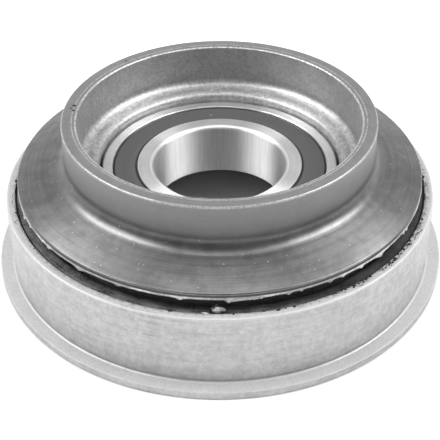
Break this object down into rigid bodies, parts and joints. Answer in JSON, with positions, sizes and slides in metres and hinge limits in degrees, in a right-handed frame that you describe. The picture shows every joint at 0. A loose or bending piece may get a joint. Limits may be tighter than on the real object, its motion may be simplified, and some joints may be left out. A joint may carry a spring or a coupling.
{
  "type": "driveshaft centre bearing",
  "caption": "Driveshaft centre bearing: flanged press-in steel ring, bonded rubber ring, turned carrier with collar and skirt, and a sealed ball bearing that carries the shaft.",
  "frame": {"origin": "centre of the flange's underside, on the bore's axis", "axes": "+Z along the bore, from the flange towards the collar; X and Y are free, since it is round"},
  "size_m": [0.105, 0.105, 0.036],
  "materials": {
    "plated_steel": "matte light grey zinc plate",
    "mount_rubber": "moulded black rubber with flash at its edges",
    "turned_steel": "grey turned and phosphated steel with fine concentric streaks",
    "ground_steel": "ground bearing steel",
    "ball_steel": "polished bearing steel",
    "cage_steel": "pressed sheet steel",
    "seal_rubber": "dark grey moulded seal rubber"
  },
  "bodies": {
    "housing": {"outer_ring": "plated_steel", "rubber_ring": "mount_rubber", "bearing_carrier": "turned_steel", "outer_race": "ground_steel", "seal_upper": "seal_rubber", "seal_lower": "seal_rubber"},
    "inner_race": {"inner_race": "ground_steel"},
    "cage": {"cage_upper": "cage_steel", "cage_lower": "cage_steel", "cage_rivets": "cage_steel"},
    "ball_01": {"ball_01": "ball_steel"},
    "ball_02": {"ball_02": "ball_steel"},
    "ball_03": {"ball_03": "ball_steel"},
    "ball_04": {"ball_04": "ball_steel"},
    "ball_05": {"ball_05": "ball_steel"},
    "ball_06": {"ball_06": "ball_steel"},
    "ball_07": {"ball_07": "ball_steel"},
    "ball_08": {"ball_08": "ball_steel"},
    "ball_09": {"ball_09": "ball_steel"},
    "ball_10": {"ball_10": "ball_steel"},
    "ball_11": {"ball_11": "ball_steel"}
  },
  "joints": [
    {"name": "shaft_spin", "type": "hinge", "parent": "housing", "child": "inner_race", "pos_m": [0, 0, 0.01675], "axis": [0, 0, 1], "continuous": true},
    {"name": "cage_orbit", "type": "hinge", "parent": "housing", "child": "cage", "pos_m": [0, 0, 0.01675], "axis": [0, 0, 1], "continuous": true},
    {"name": "ball_01_spin", "type": "hinge", "parent": "cage", "child": "ball_01", "pos_m": [0.02125, 0, 0.01675], "axis": [0, 0, 1], "continuous": true},
    {"name": "ball_02_spin", "type": "hinge", "parent": "cage", "child": "ball_02", "pos_m": [0.01788, 0.01149, 0.01675], "axis": [0, 0, 1], "continuous": true},
    {"name": "ball_03_spin", "type": "hinge", "parent": "cage", "child": "ball_03", "pos_m": [0.00883, 0.01933, 0.01675], "axis": [0, 0, 1], "continuous": true},
    {"name": "ball_04_spin", "type": "hinge", "parent": "cage", "child": "ball_04", "pos_m": [-0.00302, 0.02103, 0.01675], "axis": [0, 0, 1], "continuous": true},
    {"name": "ball_05_spin", "type": "hinge", "parent": "cage", "child": "ball_05", "pos_m": [-0.01392, 0.01606, 0.01675], "axis": [0, 0, 1], "continuous": true},
    {"name": "ball_06_spin", "type": "hinge", "parent": "cage", "child": "ball_06", "pos_m": [-0.02039, 0.00599, 0.01675], "axis": [0, 0, 1], "continuous": true},
    {"name": "ball_07_spin", "type": "hinge", "parent": "cage", "child": "ball_07", "pos_m": [-0.02039, -0.00599, 0.01675], "axis": [0, 0, 1], "continuous": true},
    {"name": "ball_08_spin", "type": "hinge", "parent": "cage", "child": "ball_08", "pos_m": [-0.01392, -0.01606, 0.01675], "axis": [0, 0, 1], "continuous": true},
    {"name": "ball_09_spin", "type": "hinge", "parent": "cage", "child": "ball_09", "pos_m": [-0.00302, -0.02103, 0.01675], "axis": [0, 0, 1], "continuous": true},
    {"name": "ball_10_spin", "type": "hinge", "parent": "cage", "child": "ball_10", "pos_m": [0.00883, -0.01933, 0.01675], "axis": [0, 0, 1], "continuous": true},
    {"name": "ball_11_spin", "type": "hinge", "parent": "cage", "child": "ball_11", "pos_m": [0.01788, -0.01149, 0.01675], "axis": [0, 0, 1], "continuous": true}
  ],
  "couplings": [
    {"joint": "cage_orbit", "follows": "shaft_spin", "ratio": 0.41595},
    {"joint": "ball_01_spin", "follows": "shaft_spin", "ratio": -2.8905},
    {"joint": "ball_02_spin", "follows": "shaft_spin", "ratio": -2.8905},
    {"joint": "ball_03_spin", "follows": "shaft_spin", "ratio": -2.8905},
    {"joint": "ball_04_spin", "follows": "shaft_spin", "ratio": -2.8905},
    {"joint": "ball_05_spin", "follows": "shaft_spin", "ratio": -2.8905},
    {"joint": "ball_06_spin", "follows": "shaft_spin", "ratio": -2.8905},
    {"joint": "ball_07_spin", "follows": "shaft_spin", "ratio": -2.8905},
    {"joint": "ball_08_spin", "follows": "shaft_spin", "ratio": -2.8905},
    {"joint": "ball_09_spin", "follows": "shaft_spin", "ratio": -2.8905},
    {"joint": "ball_10_spin", "follows": "shaft_spin", "ratio": -2.8905},
    {"joint": "ball_11_spin", "follows": "shaft_spin", "ratio": -2.8905}
  ]
}
